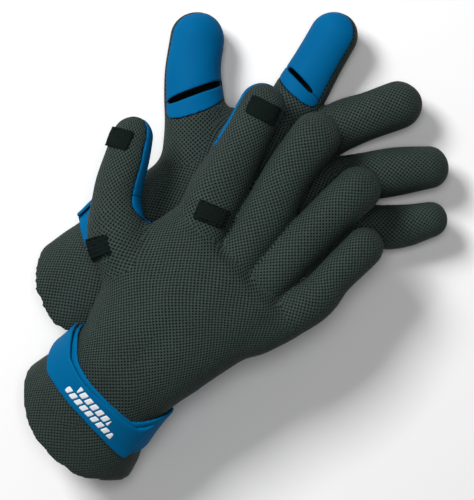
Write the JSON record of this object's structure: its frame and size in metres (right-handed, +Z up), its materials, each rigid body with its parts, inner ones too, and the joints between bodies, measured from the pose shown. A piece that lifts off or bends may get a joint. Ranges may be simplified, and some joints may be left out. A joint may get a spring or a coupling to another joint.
{
  "type": "sailing gloves",
  "caption": "Pair of textured neoprene sailing gloves with fold-back thumb and index fingertips, smooth blue fingertip panels and wrist straps",
  "frame": {"origin": "centre of the bounding box in plan, on the surface that the pair lies on", "axes": "+Z is up, out of the palm of the left glove and out of the back of the right glove. +Y runs from the right glove's cuff to the fingertips of both gloves. +X runs towards the fingertips of the left glove."},
  "size_m": [0.2552, 0.2802, 0.0869],
  "materials": {
    "neoprene": "textured matte",
    "fingertip_panel": "smooth matte",
    "strap": "smooth matte",
    "touch_fastener": "fuzzy matte",
    "print": "matte print"
  },
  "bodies": {
    "left_index_cap": {"left_index_cap_shell": "neoprene", "left_index_cap_pad": "fingertip_panel", "left_index_tip_patch": "touch_fastener"},
    "left_thumb_cap": {"left_thumb_cap_shell": "neoprene", "left_thumb_cap_pad": "fingertip_panel", "left_thumb_tip_patch": "touch_fastener"},
    "left_strap_flap": {"left_strap_flap": "strap", "left_strap_hook_patch": "touch_fastener", "left_strap_emblem_long": "print", "left_strap_emblem_short": "print"},
    "left_glove": {"left_back_panel": "neoprene", "left_palm_panel": "neoprene", "left_index_sleeve": "neoprene", "left_index_slit_facing": "fingertip_panel", "left_index_base_patch": "touch_fastener", "left_thumb_sleeve": "neoprene", "left_thumb_slit_facing": "fingertip_panel", "left_thumb_base_patch": "touch_fastener", "left_strap_band": "strap"},
    "right_index_cap": {"right_index_cap_shell": "neoprene", "right_index_cap_pad": "fingertip_panel", "right_index_tip_patch": "touch_fastener"},
    "right_thumb_cap": {"right_thumb_cap_shell": "neoprene", "right_thumb_cap_pad": "fingertip_panel", "right_thumb_tip_patch": "touch_fastener"},
    "right_strap_flap": {"right_strap_flap": "strap", "right_strap_hook_patch": "touch_fastener", "right_strap_emblem_long": "print", "right_strap_emblem_short": "print"},
    "right_glove": {"right_back_panel": "neoprene", "right_palm_panel": "neoprene", "right_index_sleeve": "neoprene", "right_index_slit_facing": "fingertip_panel", "right_index_base_patch": "touch_fastener", "right_thumb_sleeve": "neoprene", "right_thumb_slit_facing": "fingertip_panel", "right_thumb_base_patch": "touch_fastener", "right_strap_band": "strap"}
  },
  "joints": [
    {"name": "right_glove_lift", "type": "slide", "parent": "left_glove", "child": "right_glove", "axis": [0, 0, 1], "range_m": [0, 0.12]},
    {"name": "left_index_cap_fold", "type": "hinge", "parent": "left_glove", "child": "left_index_cap", "pos_m": [0.04788, 0.09508, 0.00252], "axis": [-0.7666, 0.4381, -0.4695], "range_deg": [0, 165], "stiffness_Nm_per_rad": 0.02, "springref_deg": -8.59},
    {"name": "left_thumb_cap_fold", "type": "hinge", "parent": "left_glove", "child": "left_thumb_cap", "pos_m": [-0.02399, 0.08988, -0.00092], "axis": [-0.9958, 0.0285, -0.0872], "range_deg": [0, 165], "stiffness_Nm_per_rad": 0.02, "springref_deg": -8.59},
    {"name": "left_strap_peel", "type": "hinge", "parent": "left_glove", "child": "left_strap_flap", "pos_m": [-0.04394, -0.03704, 0.01499], "axis": [-0.9163, -0.3874, 0.1015], "range_deg": [0, 95]},
    {"name": "right_index_cap_fold", "type": "hinge", "parent": "right_glove", "child": "right_index_cap", "pos_m": [0.0021, 0.0535, 0.07574], "axis": [0.9025, -0.4076, -0.1392], "range_deg": [0, 165], "stiffness_Nm_per_rad": 0.02, "springref_deg": -8.59},
    {"name": "right_thumb_cap_fold", "type": "hinge", "parent": "right_glove", "child": "right_thumb_cap", "pos_m": [-0.08158, 0.03678, 0.07597], "axis": [0.6211, -0.1656, 0.766], "range_deg": [0, 165], "stiffness_Nm_per_rad": 0.02, "springref_deg": -8.59},
    {"name": "right_strap_peel", "type": "hinge", "parent": "right_glove", "child": "right_strap_flap", "pos_m": [-0.0518, -0.11005, 0.06367], "axis": [0.5737, 0.7009, 0.4237], "range_deg": [0, 95]}
  ]
}
